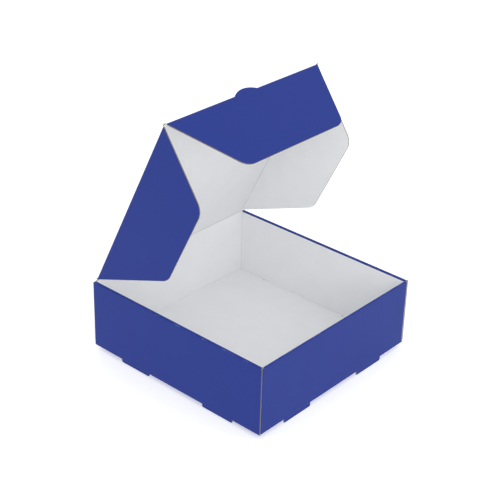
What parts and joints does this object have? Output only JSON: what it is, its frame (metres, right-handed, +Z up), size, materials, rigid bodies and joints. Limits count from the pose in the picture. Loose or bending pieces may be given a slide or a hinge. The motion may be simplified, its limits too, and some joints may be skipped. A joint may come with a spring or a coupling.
{
  "type": "shipping box",
  "caption": "Square roll-over mailer box folded from one sheet of corrugated board, open, with a hinged lid, side flaps and a tuck flap.",
  "frame": {"origin": "under the middle of the tray, on the surface that the lock tabs stand on", "axes": "+Z up, +X to the box's right along the lid's fold, +Y to the back wall that carries the lid"},
  "size_m": [0.305, 0.305, 0.3818],
  "materials": {
    "blue_print": "satin printed outside, pale grey inside"
  },
  "bodies": {
    "tray": {"tray": "blue_print"},
    "lid": {"lid_panel": "blue_print"},
    "left_flap": {"left_lid_flap": "blue_print"},
    "right_flap": {"right_lid_flap": "blue_print"},
    "tuck": {"tuck_flap": "blue_print"}
  },
  "joints": [
    {"name": "lid_fold", "type": "hinge", "parent": "tray", "child": "lid", "pos_m": [0, 0.15175, 0.10915], "axis": [-1, 0, 0], "range_deg": [-64, 116]},
    {"name": "left_flap_fold", "type": "hinge", "parent": "lid", "child": "left_flap", "pos_m": [-0.14635, 0.15175, 0.10915], "axis": [0, -0.4384, 0.8988], "range_deg": [-90, 30]},
    {"name": "right_flap_fold", "type": "hinge", "parent": "lid", "child": "right_flap", "pos_m": [0.14635, 0.15175, 0.10915], "axis": [0, 0.4384, -0.8988], "range_deg": [-90, 30]},
    {"name": "tuck_fold", "type": "hinge", "parent": "lid", "child": "tuck", "pos_m": [0, 0.02046, 0.37834], "axis": [1, 0, 0], "range_deg": [-30, 17]}
  ],
  "couplings": [
    {"joint": "tuck_fold", "follows": "lid_fold", "ratio": -0.25}
  ]
}
